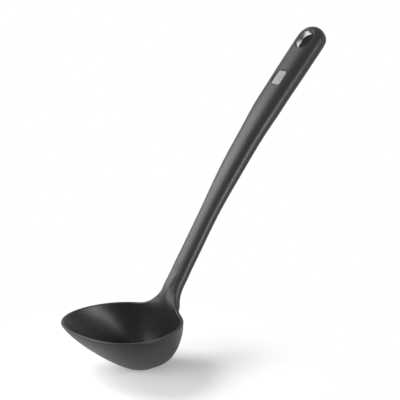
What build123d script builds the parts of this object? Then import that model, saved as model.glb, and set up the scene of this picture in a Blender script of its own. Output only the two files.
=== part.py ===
from build123d import *
import os
from math import cos, copysign, exp, pi, radians, sin, sqrt, tan

# Soup ladle, a silicone body moulded over a stiff nylon core, in millimetres.
# The origin is the centre of the small flat foot under the bowl. +Z is up, the handle
# leans towards +X, the front of the bowl is towards -X, and Y runs across the ladle.

# Bowl
RIM_RADIUS = 48.1
RIM_HEIGHT = 41.8
RIM_OFFSET = 18.44
FOOT_RADIUS = 11.1
WALL = 2.6
RIM_ROUNDING = 0.8

# The rim is nearly round. Each share is a wave once, twice, three and four times
# round it, and together they give the blunt front and the two pouring corners.
RIM_WAVE_SHARES = (-0.0125, -0.0104, 0.0282, -0.0132)

# How round the side of the bowl is, where 1 is a straight cone and 2 is an ellipse,
# and how closely the round back keeps to the handle's side
FRONT_ROUNDNESS = 1.2
BACK_ROUNDNESS = 2.56
BACK_FOCUS = 4.4

# Neck, where the back of the bowl rises as a tongue and leans into the handle
NECK_BEND_RADIUS = 33.1
NECK_LEAN = 38.0
TONGUE_HALF_WIDTH = 6.8
TONGUE_FILLET = 18.5
TONGUE_TAPER = 10.0
TONGUE_CROWN = 1.5
TONGUE_CROWN_SHARE = 8.8
TONGUE_SINK_HEIGHT = 18.0
TONGUE_SINK = 2.4
NECK_ROOT_DEPTH = 23.0
NECK_FRONT_SINK = 0.4
NECK_ROOT_THIN_SHARE = 0.3
NECK_ROOT_NARROW_SHARE = 0.5

# Handle
HANDLE_STRAIGHT = 55.9
HANDLE_BEND_RADIUS = 740.0
HANDLE_BEND = 10.5
HANDLE_TOP_STRAIGHT = 67.7
HANDLE_HALF_WIDTH = 13.6
HANDLE_HALF_THICKNESS = 8.6
NECK_HALF_WIDTH = 8.2
NECK_HALF_THICKNESS = 6.0
NECK_FLARE = 1.5
NECK_FLARE_LENGTH = 30.0

# How square the handle's oval is, how soon it widens, and how blunt its end is
SECTION_SQUARENESS = 2.4
HANDLE_SWELL_POWER = 1.2
END_ROUNDNESS = 2.15
END_BLUNTNESS = 3.2

# Hanging slot near the end of the handle, and the steel ring moulded in under its front lip
SLOT_MARGIN = 7.1
SLOT_WIDTH = 13.4
SLOT_LENGTH = 20.0
SLOT_LIP_ROUNDING = 0.6
RING_WALL = 0.8
RING_DEPTH = 5.0
RING_SET_BACK = 1.3

# Nylon core under the silicone
BOWL_SKIN = 0.75
BOWL_CORE_WALL = 1.1
CORE_RIM_DROP = 4.0
HANDLE_SKIN = 2.2
SLOT_SKIN = 2.0
CORE_WEB_WIDTH = 9.0
CORE_WEB_DROP = 13.0
CORE_WEB_RISE = 4.0
CORE_WEB_DEPTH = 5.0

# Oval inlay in the front of the handle, and the bare badge plate that lies in it
INLAY_LENGTH = 17.6
INLAY_WIDTH = 13.2
INLAY_THICKNESS = 1.3
INLAY_SET_BACK = 0.4
BADGE_LENGTH = 14.6
BADGE_WIDTH = 8.4
BADGE_CORNER = 1.8
BADGE_THICKNESS = 0.8
BADGE_SET_BACK = 0.2
BADGE_TO_SLOT = 43.9

# One overrun serves every cut
OVERRUN = 10.0

# How many points and levels the smooth forms are drawn through
BOWL_POINTS = 36
BOWL_LEVELS = 9
NECK_LEVELS = 7
HANDLE_POINTS = 20
CORE_POINTS = 16
STRETCH_LEVELS = 4
ROOT_LEVELS = 3
END_LEVELS = 6

# Worked out from the sizes above
rim_back = RIM_RADIUS * (1 + sum(RIM_WAVE_SHARES)) - RIM_OFFSET
wall_bend_radius = NECK_BEND_RADIUS - WALL
wall_bend_height = wall_bend_radius * sin(radians(NECK_LEAN))
tongue_top = RIM_HEIGHT + wall_bend_height + TONGUE_SINK_HEIGHT
axis_bend_radius = NECK_BEND_RADIUS - NECK_FRONT_SINK - NECK_HALF_THICKNESS
axis_bottom = rim_back - WALL + NECK_FRONT_SINK + NECK_HALF_THICKNESS
handle_stretches = (
    (axis_bend_radius * radians(NECK_LEAN), NECK_LEAN),
    (HANDLE_STRAIGHT, 0),
    (HANDLE_BEND_RADIUS * radians(HANDLE_BEND), HANDLE_BEND),
    (HANDLE_TOP_STRAIGHT, 0),
)
handle_length = sum(length for length, turn in handle_stretches)
slot_run = handle_length - SLOT_MARGIN - SLOT_LENGTH / 2
badge_run = slot_run - BADGE_TO_SLOT
through_depth = HANDLE_HALF_THICKNESS + OVERRUN
ring_seat = HANDLE_HALF_THICKNESS - RING_SET_BACK - RING_DEPTH
inlay_seat = INLAY_SET_BACK + INLAY_THICKNESS
badge_seat = BADGE_SET_BACK + BADGE_THICKNESS


def rim_radius(angle):
    """Radius of the rim at an angle round the bowl, 0 at the back under the handle."""
    waves = enumerate(RIM_WAVE_SHARES, 1)
    return RIM_RADIUS * (1 + sum(share * cos(turns * angle) for turns, share in waves))


def side_roundness(angle):
    """Roundness of the side of the bowl at an angle round it."""
    back = ((1 + cos(angle)) / 2) ** BACK_FOCUS
    return FRONT_ROUNDNESS + (BACK_ROUNDNESS - FRONT_ROUNDNESS) * back


def ease(share):
    """Smooth step from 0 to 1."""
    share = min(max(share, 0), 1)
    return share * share * (3 - 2 * share)


def wall_lean(above):
    """How far the back wall has leaned towards the handle at a height above the rim."""
    bend = min(above, wall_bend_height)
    taper = (above - bend) / TONGUE_SINK_HEIGHT
    arc = wall_bend_radius - sqrt(wall_bend_radius**2 - bend**2)
    return arc + (above - bend) * tan(radians(NECK_LEAN)) + TONGUE_SINK * taper


def outside(angle, height):
    """Point on the outside of the bowl, or on the wall that goes on above its rim."""
    above = max(height - RIM_HEIGHT, 0)
    below = 1 - min(height / RIM_HEIGHT, 1)
    power = side_roundness(angle)
    swell = (1 - below**power) ** (1 / power)
    back = ease(cos(angle) * sqrt(2))
    radius = rim_radius(angle)
    rim = Vector(radius * cos(angle) - RIM_OFFSET, radius * sin(angle), 0)
    foot = Vector(FOOT_RADIUS * cos(angle), FOOT_RADIUS * sin(angle), 0)
    spread = foot + (rim - foot) * (swell + (1 - back) * above / (2 * RIM_HEIGHT))
    hollow = TONGUE_CROWN * (1 - exp((rim.X - rim_back) / TONGUE_CROWN))
    crown = hollow * TONGUE_CROWN_SHARE * ease(above / wall_bend_height)
    return spread + Vector(back * (wall_lean(above) + crown), 0, height)


def bowl_section(height, inset):
    """Level outline of the bowl, drawn in by an inset measured square to its surface."""
    step = WALL / 100
    middle = Vector(-RIM_OFFSET * min(height / RIM_HEIGHT, 1), 0, height)
    points = []
    for index in range(BOWL_POINTS):
        angle = 2 * pi * index / BOWL_POINTS
        point = outside(angle, height)
        rise = outside(angle, height + step) - outside(angle, max(height - step, 0))
        slope = rise.length / rise.Z
        points.append(point + (middle - point).normalized() * inset * slope)
    return Wire([Edge.make_spline(points, periodic=True)])


def bowl_form(inset, top):
    """Solid form of the bowl and the wall above it, drawn in by an inset."""
    below = min(top, RIM_HEIGHT) - inset
    shares = [1 - cos(pi / 2 * level / BOWL_LEVELS) for level in range(BOWL_LEVELS + 1)]
    heights = [inset + below * share for share in shares]
    above = top - RIM_HEIGHT
    if above > 0:
        heights += [RIM_HEIGHT + above * (level + 1) / NECK_LEVELS for level in range(NECK_LEVELS)]
    return Part() + Solid.make_loft([bowl_section(height, inset) for height in heights])


def handle_plane(run):
    """Section plane of the handle at a run along its middle from the height of the rim."""
    x, z, lean = axis_bottom, RIM_HEIGHT, 0
    rest = run
    for length, turn in handle_stretches:
        part = min(rest, length)
        half_turn = radians(turn * part / length) / 2
        chord = part * sin(half_turn) / half_turn if half_turn > 0 else part
        x += chord * sin(radians(lean) + half_turn)
        z += chord * cos(radians(lean) + half_turn)
        lean += turn * part / length
        rest -= part
    along = Vector(sin(radians(lean)), 0, cos(radians(lean)))
    return Plane(origin=(x, 0, z), x_dir=(0, 1, 0), z_dir=along)


def handle_halves(run):
    """Half width and half thickness of the handle at a run along it."""
    start = handle_stretches[0][0] + HANDLE_STRAIGHT
    share = min(max((run - start) / (handle_length - HANDLE_HALF_WIDTH - start), 0), 1)
    swell = sin(pi / 2 * share) ** HANDLE_SWELL_POWER
    flare = NECK_FLARE * (1 - min(run / NECK_FLARE_LENGTH, 1)) ** 2
    half_width = NECK_HALF_WIDTH + flare + (HANDLE_HALF_WIDTH - NECK_HALF_WIDTH) * swell
    half_thickness = NECK_HALF_THICKNESS + (HANDLE_HALF_THICKNESS - NECK_HALF_THICKNESS) * swell
    return half_width, half_thickness


def oval(plane, half_width, half_thickness, count=HANDLE_POINTS):
    """Squarish oval outline on a section plane, drawn through a count of points."""
    points = []
    for index in range(count):
        angle = 2 * pi * index / count
        across = copysign(abs(cos(angle)) ** (2 / SECTION_SQUARENESS), cos(angle))
        up = copysign(abs(sin(angle)) ** (2 / SECTION_SQUARENESS), sin(angle))
        local = Vector(half_width * across, half_thickness * up, 0)
        points.append(plane.from_local_coords(local))
    return Wire([Edge.make_spline(points, periodic=True)])


def handle_form(inset, count=HANDLE_POINTS):
    """Solid form of the handle above the rim, drawn in by an inset."""
    end_start = handle_length - HANDLE_HALF_WIDTH
    runs = [0]
    for length, turn in handle_stretches:
        start = runs[-1]
        stop = min(start + length, end_start)
        runs += [start + (stop - start) * (level + 1) / STRETCH_LEVELS for level in range(STRETCH_LEVELS)]
    sections = []
    for run in runs:
        half_width, half_thickness = handle_halves(run)
        sections.append(oval(handle_plane(run), half_width - inset, half_thickness - inset, count))
    reach = HANDLE_HALF_WIDTH - inset
    for level in range(1, END_LEVELS):
        share = sin(pi / 2 * level / END_LEVELS)
        narrow = (1 - share**END_ROUNDNESS) ** (1 / END_ROUNDNESS)
        thin = (1 - share**END_BLUNTNESS) ** (1 / END_BLUNTNESS)
        plane = handle_plane(end_start + reach * share)
        sections.append(oval(plane, reach * narrow, (HANDLE_HALF_THICKNESS - inset) * thin, count))
    tip = Vertex(*handle_plane(end_start + reach).origin)
    return Part() + Solid.make_loft(sections + [tip])


def neck_root():
    """The back rib of the neck, fading down the outside of the bowl from the rim's height."""
    half_width, half_thickness = handle_halves(0)
    sections = [oval(handle_plane(0), half_width, half_thickness)]
    for level in range(1, ROOT_LEVELS + 1):
        fade = level / ROOT_LEVELS
        height = RIM_HEIGHT - NECK_ROOT_DEPTH * fade
        thickness = half_thickness * (1 - fade * (1 - NECK_ROOT_THIN_SHARE))
        width = half_width * (1 - fade * (1 - NECK_ROOT_NARROW_SHARE))
        front = outside(0, height).X - WALL / 2
        plane = Plane(origin=(front + thickness, 0, height), x_dir=(0, 1, 0), z_dir=(0, 0, 1))
        sections.append(oval(plane, width, thickness))
    return Part() + Solid.make_loft(sections)


def above_rim():
    """All that is cut off over the rim, round a tongue that widens into it with fillets."""
    taper = radians(TONGUE_TAPER)
    reach = TONGUE_HALF_WIDTH + TONGUE_FILLET * cos(taper)
    shoulder = RIM_HEIGHT + TONGUE_FILLET * (1 - sin(taper))
    half_turn = (pi / 2 - taper) / 2
    bow_width = reach - TONGUE_FILLET * sin(half_turn)
    bow_height = RIM_HEIGHT + TONGUE_FILLET * (1 - cos(half_turn))
    top_half_width = TONGUE_HALF_WIDTH - (tongue_top - shoulder) * tan(taper)
    with BuildSketch(Plane.YZ) as outline:
        with BuildLine():
            Line((0, RIM_HEIGHT), (reach, RIM_HEIGHT))
            ThreePointArc((reach, RIM_HEIGHT), (bow_width, bow_height), (TONGUE_HALF_WIDTH, shoulder))
            Line((TONGUE_HALF_WIDTH, shoulder), (top_half_width, tongue_top))
            Line((top_half_width, tongue_top), (0, tongue_top))
            mirror(about=Plane.YZ)
        make_face()
    width = 2 * (RIM_RADIUS + 2 * OVERRUN)
    height = tongue_top - RIM_HEIGHT + OVERRUN
    block = Pos(-RIM_OFFSET, 0, RIM_HEIGHT + height / 2) * Box(2 * width, width, height)
    return block - extrude(outline.sketch, width)


def bowl_shell():
    """The bowl's wall with its tongue, rounded all along the rim and the tongue's sides."""
    shell = bowl_form(0, tongue_top) - bowl_form(WALL, tongue_top) - above_rim()
    edges = []
    for edge in shell.edges():
        low = edge.bounding_box().min.Z
        on_top = RIM_HEIGHT - RIM_ROUNDING < low < tongue_top - RIM_ROUNDING
        if on_top and edge.geom_type != GeomType.LINE:
            edges.append(edge)
    return shell.fillet(RIM_ROUNDING, edges)


def front_plane(run):
    """Plane in the middle of the handle, facing its front, with X along the handle."""
    section = handle_plane(run)
    return Plane(origin=section.origin, x_dir=section.z_dir, z_dir=section.y_dir)


def slot_prism(margin, start, height):
    """Prism of the hanging slot with a margin round it, from a height over the handle's middle."""
    outline = SlotOverall(SLOT_LENGTH + 2 * margin, SLOT_WIDTH + 2 * margin)
    return extrude(front_plane(slot_run).offset(start) * outline, height)


def slot_through(margin):
    """Prism of the hanging slot with a margin round it, right through the handle."""
    return slot_prism(margin, -through_depth, 2 * through_depth)


def inlay_prism():
    """Prism of the oval inlay, out through the front of the handle."""
    shape = front_plane(badge_run) * Ellipse(INLAY_LENGTH / 2, INLAY_WIDTH / 2)
    return extrude(shape, through_depth)


def badge_prism():
    """Prism of the badge plate, out through the front of the handle."""
    shape = front_plane(badge_run) * RectangleRounded(BADGE_LENGTH, BADGE_WIDTH, BADGE_CORNER)
    return extrude(shape, through_depth)


def rounded_mouths(shape, radius):
    """The shape with the edges of the hanging slot's mouths rounded."""
    plane = front_plane(slot_run)
    edges = []
    for edge in shape.edges():
        middle = plane.to_local_coords(edge.center())
        near = max(abs(middle.X), abs(middle.Y)) < SLOT_LENGTH / 2
        if near and edge.geom_type != GeomType.LINE:
            edges.append(edge)
    return shape.fillet(radius, edges)


def slot_ring():
    """Polished steel ring that lines the slot just under its front lip."""
    outer = slot_prism(RING_WALL, ring_seat, RING_DEPTH)
    return outer - slot_prism(0, ring_seat, RING_DEPTH)


def badge_inlay():
    """Matt black oval inlay that frames the badge plate."""
    oval_piece = inlay_prism() & (handle_form(INLAY_SET_BACK) - handle_form(inlay_seat))
    return oval_piece - (badge_prism() - handle_form(badge_seat))


def badge_plate():
    """Bare badge plate, following the front of the handle."""
    return badge_prism() & (handle_form(BADGE_SET_BACK) - handle_form(badge_seat))


def nylon_core():
    """Stiff core of the bowl and handle, inside the silicone all round."""
    top = RIM_HEIGHT - CORE_RIM_DROP
    bowl = bowl_form(BOWL_SKIN, top) - bowl_form(BOWL_SKIN + BOWL_CORE_WALL, top)
    front = rim_back - BOWL_SKIN - BOWL_CORE_WALL
    web_height = CORE_WEB_DROP + CORE_WEB_RISE
    web_middle = RIM_HEIGHT + CORE_WEB_RISE - web_height / 2
    web = Pos(front + CORE_WEB_DEPTH / 2, 0, web_middle) * Box(CORE_WEB_DEPTH, CORE_WEB_WIDTH, web_height)
    return bowl + web + handle_form(HANDLE_SKIN, CORE_POINTS) - slot_through(SLOT_SKIN)


def silicone_body(core):
    """The silicone moulded over the core, with its slot and the seats of the ring and inlay."""
    handle = rounded_mouths(handle_form(0) - slot_through(0), SLOT_LIP_ROUNDING)
    handle -= slot_prism(RING_WALL, ring_seat, RING_DEPTH)
    handle -= inlay_prism() - handle_form(inlay_seat)
    return bowl_shell() + (neck_root() + handle) - core


def main():
    core = nylon_core()
    nodes = {
        "silicone_body": silicone_body(core),
        "nylon_core": core,
        "slot_ring": slot_ring(),
        "badge_inlay": badge_inlay(),
        "badge_plate": badge_plate(),
    }
    os.makedirs("parts", exist_ok=True)
    for name, shape in nodes.items():
        shape.label = name
        export_step(shape, f"parts/{name}.step")


main()
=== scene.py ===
import math

import bmesh
import bpy
from mathutils import Matrix, Vector

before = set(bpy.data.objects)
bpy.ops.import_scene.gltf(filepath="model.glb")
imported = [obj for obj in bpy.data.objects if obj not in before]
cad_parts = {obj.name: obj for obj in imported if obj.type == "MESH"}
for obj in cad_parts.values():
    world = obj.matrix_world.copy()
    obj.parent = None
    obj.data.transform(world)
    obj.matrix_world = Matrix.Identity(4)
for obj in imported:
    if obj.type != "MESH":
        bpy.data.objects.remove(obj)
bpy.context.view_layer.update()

WHITE = (1.0, 1.0, 1.0, 1.0)

# Where the camera looks, from which side, and where that spot lands in the picture
AIM = Vector((0.0418, 0.0, 0.130))
CAMERA_AZIMUTH = -46.0
CAMERA_ELEVATION = 15.6
CAMERA_DISTANCE = 1.2
CAMERA_LENS = 135.0
CAMERA_SHIFT = (0.058, -0.0025)
CAMERA_REACH = 50.0

# The floor is a wide disc. Near the ladle it keeps the shadow, and further out it fades to
# plain white. The camera and mirror reflections see it paler than it lights the ladle.
FLOOR_RADIUS = 9.0
FLOOR_SEGMENTS = 96
FLOOR_COLOUR = (0.45, 0.45, 0.45, 1.0)
FLOOR_SEEN_COLOUR = (0.56, 0.56, 0.56, 1.0)
FLOOR_LIFT = 0.16
FLOOR_FADE_START = 0.07
FLOOR_FADE_END = 0.16

# Strength of the white background, and of the room's even light on the ladle
BACKGROUND_LIGHT = 1.0
ROOM_LIGHT = 0.25

# Softboxes: name, direction from the ladle, distance, width, height, power in watts
SOFTBOXES = (
    ("key_softbox", (-0.33, 0.67, 0.66), 0.95, 0.65, 0.60, 12.8),
    ("neck_softbox", (-0.30, 0.93, 0.20), 0.95, 0.35, 0.35, 2.5),
    ("side_strip", (0.19, -0.965, 0.13), 0.95, 0.34, 0.56, 11.5),
    ("left_softbox", (-0.95, 0.20, 0.20), 0.95, 0.70, 0.50, 11.0),
    ("spout_softbox", (0.40, -0.80, 0.45), 0.95, 0.35, 0.35, 0.6),
)
SOFTBOX_TARGET = Vector((0.09, 0.0, 0.14))

# Colours of the finishes: the darkest and the palest shade of each
SILICONE_DARK = (0.0060, 0.0060, 0.0061)
SILICONE_PALE = (0.0080, 0.0080, 0.0079)
DUST_COLOUR = (0.035, 0.035, 0.035, 1.0)
NYLON_DARK = 0.008
NYLON_PALE = 0.020
# The inlay's near-black is partly painted shade, standing in for the shade in the badge's recess
INLAY_AND_SHADE_DARK = 0.003
INLAY_AND_SHADE_PALE = 0.006
STEEL_DARK = (0.90, 0.90, 0.89)
STEEL_PALE = (0.96, 0.96, 0.95)
BADGE_DARK = (0.105, 0.105, 0.104)
BADGE_PALE = (0.135, 0.135, 0.134)
SILICONE_IOR = 1.45


def node_material(name):
    """A new material and its node tree, with no nodes in it yet."""
    material = bpy.data.materials.new(name)
    material.use_nodes = True
    tree = material.node_tree
    tree.nodes.clear()
    return material, tree


def add(tree, kind, settings=None, **inputs):
    """Adds a node, sets its properties and its named inputs, and links any socket given."""
    node = tree.nodes.new(kind)
    for key, value in (settings or {}).items():
        setattr(node, key, value)
    for key, value in inputs.items():
        socket = node.inputs[key.replace("_", " ")]
        if isinstance(value, bpy.types.NodeSocket):
            tree.links.new(value, socket)
        else:
            socket.default_value = value
    return node


def ramp(tree, value, stops):
    """A colour ramp over a value: two stops, each a position and a grey or a colour."""
    node = tree.nodes.new("ShaderNodeValToRGB")
    tree.links.new(value, node.inputs["Fac"])
    elements = node.color_ramp.elements
    for element, (position, shade) in zip(elements, stops, strict=True):
        element.position = position
        element.color = (shade, shade, shade, 1) if isinstance(shade, float) else (*shade, 1)
    return node.outputs["Color"]


def noise(tree, place, scale, detail, roughness=0.5, stretch=None):
    """Noise on the piece's own coordinates, in cycles per metre."""
    if stretch is not None:
        place = add(tree, "ShaderNodeMapping", Vector=place, Scale=stretch).outputs["Vector"]
    return add(
        tree, "ShaderNodeTexNoise", Vector=place, Scale=scale, Detail=detail, Roughness=roughness
    ).outputs["Fac"]


def object_place(tree):
    """The piece's own coordinates."""
    return tree.nodes.new("ShaderNodeTexCoord").outputs["Object"]


def mix_value(tree, value, low, high):
    """A value of 0 to 1 spread between a low and a high one."""
    node = tree.nodes.new("ShaderNodeMapRange")
    tree.links.new(value, node.inputs["Value"])
    node.inputs["To Min"].default_value = low
    node.inputs["To Max"].default_value = high
    return node.outputs["Result"]


def finish_material(tree, shader):
    """Ends a material in its surface output."""
    output = tree.nodes.new("ShaderNodeOutputMaterial")
    tree.links.new(shader.outputs[0], output.inputs["Surface"])


def silicone_material():
    """Satin charcoal silicone: a fine moulded grain, slight cloudiness and a few dust motes."""
    material, tree = node_material("satin_charcoal_silicone")
    place = object_place(tree)
    cloud = noise(tree, place, scale=22.0, detail=2.0)
    grain = noise(tree, place, scale=1500.0, detail=2.0, roughness=0.6)
    waves = noise(tree, place, scale=60.0, detail=1.0)
    dust = noise(tree, place, scale=420.0, detail=0.0)
    base = ramp(tree, cloud, ((0.35, SILICONE_DARK), (0.65, SILICONE_PALE)))
    motes = ramp(tree, dust, ((0.82, 0.0), (0.88, 1.0)))
    colour = add(tree, "ShaderNodeMix", {"data_type": "RGBA"})
    tree.links.new(motes, colour.inputs["Factor"])
    tree.links.new(base, colour.inputs["A"])
    colour.inputs["B"].default_value = DUST_COLOUR
    roughness = mix_value(tree, cloud, low=0.40, high=0.44)
    bump = add(tree, "ShaderNodeBump", Strength=0.03, Distance=0.00004, Height=grain)
    bump = add(
        tree, "ShaderNodeBump", Strength=0.10, Distance=0.0002, Height=waves,
        Normal=bump.outputs["Normal"],
    )
    shader = add(
        tree, "ShaderNodeBsdfPrincipled", Roughness=roughness, IOR=SILICONE_IOR,
        Specular_IOR_Level=0.3, Normal=bump.outputs["Normal"],
    )
    tree.links.new(colour.outputs["Result"], shader.inputs["Base Color"])
    finish_material(tree, shader)
    return material


def nylon_material():
    """Plain black nylon of the hidden core, with a fine glass-fibre fleck."""
    material, tree = node_material("black_nylon")
    fleck = noise(tree, object_place(tree), scale=900.0, detail=2.0)
    colour = ramp(tree, fleck, ((0.3, NYLON_DARK), (0.8, NYLON_PALE)))
    bump = add(tree, "ShaderNodeBump", Strength=0.2, Distance=0.00005, Height=fleck)
    shader = add(
        tree, "ShaderNodeBsdfPrincipled", Base_Color=colour, Roughness=0.55,
        Normal=bump.outputs["Normal"],
    )
    finish_material(tree, shader)
    return material


def inlay_painted_shade_material():
    """Matt black of the oval inlay, with a fine stipple; its near-black is partly painted shade
    of the badge's recess.
    """
    material, tree = node_material("matt_black_inlay_painted_shade")
    stipple = noise(tree, object_place(tree), scale=2200.0, detail=2.0)
    colour = ramp(tree, stipple, ((0.3, INLAY_AND_SHADE_DARK), (0.7, INLAY_AND_SHADE_PALE)))
    roughness = mix_value(tree, stipple, low=0.58, high=0.70)
    bump = add(tree, "ShaderNodeBump", Strength=0.15, Distance=0.00004, Height=stipple)
    shader = add(
        tree, "ShaderNodeBsdfPrincipled", Base_Color=colour, Roughness=roughness,
        Specular_IOR_Level=0.25, Normal=bump.outputs["Normal"],
    )
    finish_material(tree, shader)
    return material


def steel_material():
    """Polished steel of the slot's ring, with faint turning lines and a hazy smear."""
    material, tree = node_material("polished_steel")
    place = object_place(tree)
    lines = noise(tree, place, scale=2600.0, detail=1.0, stretch=(0.12, 1.0, 0.12))
    haze = noise(tree, place, scale=180.0, detail=2.0)
    colour = ramp(tree, haze, ((0.3, STEEL_DARK), (0.7, STEEL_PALE)))
    roughness = mix_value(tree, haze, low=0.22, high=0.30)
    bump = add(tree, "ShaderNodeBump", Strength=0.03, Distance=0.00003, Height=lines)
    shader = add(
        tree, "ShaderNodeBsdfPrincipled", Base_Color=colour, Metallic=1.0,
        Roughness=roughness, Normal=bump.outputs["Normal"],
    )
    finish_material(tree, shader)
    return material


def badge_material():
    """Fine-blasted pale finish of the bare badge plate, too matt to mirror anything."""
    material, tree = node_material("blasted_badge_metal")
    place = object_place(tree)
    grain = noise(tree, place, scale=3200.0, detail=2.0, roughness=0.6)
    cloud = noise(tree, place, scale=260.0, detail=2.0)
    colour = ramp(tree, cloud, ((0.3, BADGE_DARK), (0.7, BADGE_PALE)))
    roughness = mix_value(tree, grain, low=0.44, high=0.60)
    bump = add(tree, "ShaderNodeBump", Strength=0.2, Distance=0.00004, Height=grain)
    shader = add(
        tree, "ShaderNodeBsdfPrincipled", Base_Color=colour, Roughness=roughness,
        Normal=bump.outputs["Normal"],
    )
    finish_material(tree, shader)
    return material


def seen_as_background(tree):
    """1 where the camera sees a thing directly, mirrored or through glass, else 0."""
    rays = tree.nodes.new("ShaderNodeLightPath").outputs
    seen = rays["Is Camera Ray"]
    for kind in ("Is Glossy Ray", "Is Transmission Ray"):
        either = add(tree, "ShaderNodeMath", {"operation": "MAXIMUM"})
        tree.links.new(seen, either.inputs[0])
        tree.links.new(rays[kind], either.inputs[1])
        seen = either.outputs["Value"]
    return seen


def mix_shaders(tree, factor, first, second):
    """The first shader where the factor is 0, the second where it is 1."""
    mixed = tree.nodes.new("ShaderNodeMixShader")
    tree.links.new(factor, mixed.inputs["Fac"])
    tree.links.new(first.outputs[0], mixed.inputs[1])
    tree.links.new(second.outputs[0], mixed.inputs[2])
    return mixed


def floor_material():
    """Pale floor that keeps the shadow near the ladle and is plain white further out."""
    material, tree = node_material("pale_floor")
    away = add(tree, "ShaderNodeVectorMath", {"operation": "LENGTH"})
    tree.links.new(object_place(tree), away.inputs[0])
    fade = tree.nodes.new("ShaderNodeMapRange")
    fade.interpolation_type = "SMOOTHSTEP"
    tree.links.new(away.outputs["Value"], fade.inputs["Value"])
    fade.inputs["From Min"].default_value = FLOOR_FADE_START
    fade.inputs["From Max"].default_value = FLOOR_FADE_END
    plain = add(tree, "ShaderNodeBsdfDiffuse", Color=FLOOR_COLOUR)
    seen = add(tree, "ShaderNodeBsdfDiffuse", Color=FLOOR_SEEN_COLOUR)
    lift = add(tree, "ShaderNodeEmission", Color=WHITE, Strength=FLOOR_LIFT)
    lifted = tree.nodes.new("ShaderNodeAddShader")
    tree.links.new(seen.outputs[0], lifted.inputs[0])
    tree.links.new(lift.outputs[0], lifted.inputs[1])
    white = add(tree, "ShaderNodeEmission", Color=WHITE, Strength=BACKGROUND_LIGHT)
    shown = mix_shaders(tree, fade.outputs["Result"], lifted, white)
    finish_material(tree, mix_shaders(tree, seen_as_background(tree), plain, shown))
    return material


def make_floor():
    """The floor disc under the ladle."""
    mesh = bpy.data.meshes.new("floor")
    shape = bmesh.new()
    bmesh.ops.create_circle(shape, cap_ends=True, segments=FLOOR_SEGMENTS, radius=FLOOR_RADIUS)
    shape.to_mesh(mesh)
    shape.free()
    floor = bpy.data.objects.new("floor", mesh)
    bpy.context.scene.collection.objects.link(floor)
    mesh.materials.append(floor_material())


def make_world():
    """White room behind the ladle and in its reflections, and a soft light from all round."""
    world = bpy.data.worlds.new("studio")
    bpy.context.scene.world = world
    world.use_nodes = True
    tree = world.node_tree
    tree.nodes.clear()
    room = add(tree, "ShaderNodeBackground", Color=WHITE, Strength=ROOM_LIGHT)
    white = add(tree, "ShaderNodeBackground", Color=WHITE, Strength=BACKGROUND_LIGHT)
    both = mix_shaders(tree, seen_as_background(tree), room, white)
    output = tree.nodes.new("ShaderNodeOutputWorld")
    tree.links.new(both.outputs[0], output.inputs["Surface"])


def make_softboxes():
    """Area lamps round the ladle, each facing it."""
    for name, direction, distance, width, height, power in SOFTBOXES:
        lamp = bpy.data.lights.new(name, "AREA")
        lamp.shape = "RECTANGLE"
        lamp.size = width
        lamp.size_y = height
        lamp.energy = power
        box = bpy.data.objects.new(name, lamp)
        towards = Vector(direction).normalized()
        box.location = SOFTBOX_TARGET + towards * distance
        box.rotation_euler = towards.to_track_quat("Z", "Y").to_euler()
        bpy.context.scene.collection.objects.link(box)


def make_camera():
    """Camera at the photograph's angle and framing."""
    azimuth = math.radians(CAMERA_AZIMUTH)
    elevation = math.radians(CAMERA_ELEVATION)
    right = Vector((math.cos(azimuth), math.sin(azimuth), 0))
    back = Vector((
        math.sin(azimuth) * math.cos(elevation),
        -math.cos(azimuth) * math.cos(elevation),
        math.sin(elevation),
    ))
    up = back.cross(right)
    lens = bpy.data.cameras.new("camera")
    lens.lens = CAMERA_LENS
    lens.shift_x, lens.shift_y = CAMERA_SHIFT
    lens.clip_end = CAMERA_REACH
    camera = bpy.data.objects.new("camera", lens)
    turn = Matrix((right, up, back)).transposed().to_4x4()
    camera.matrix_world = Matrix.Translation(AIM + back * CAMERA_DISTANCE) @ turn
    bpy.context.scene.collection.objects.link(camera)
    bpy.context.scene.camera = camera


def dress(node, material):
    """Gives a solid of the frame its finish."""
    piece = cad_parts[node]
    for slot in piece.material_slots:
        slot.material = material
    if not piece.material_slots:
        piece.data.materials.append(material)


make_camera()
make_world()
make_floor()
make_softboxes()
dress("silicone_body", silicone_material())
dress("nylon_core", nylon_material())
dress("slot_ring", steel_material())
# The inlay's finish is partly painted shade of the badge's recess
dress("badge_inlay", inlay_painted_shade_material())
dress("badge_plate", badge_material())

bpy.context.scene.view_settings.view_transform = "Standard"
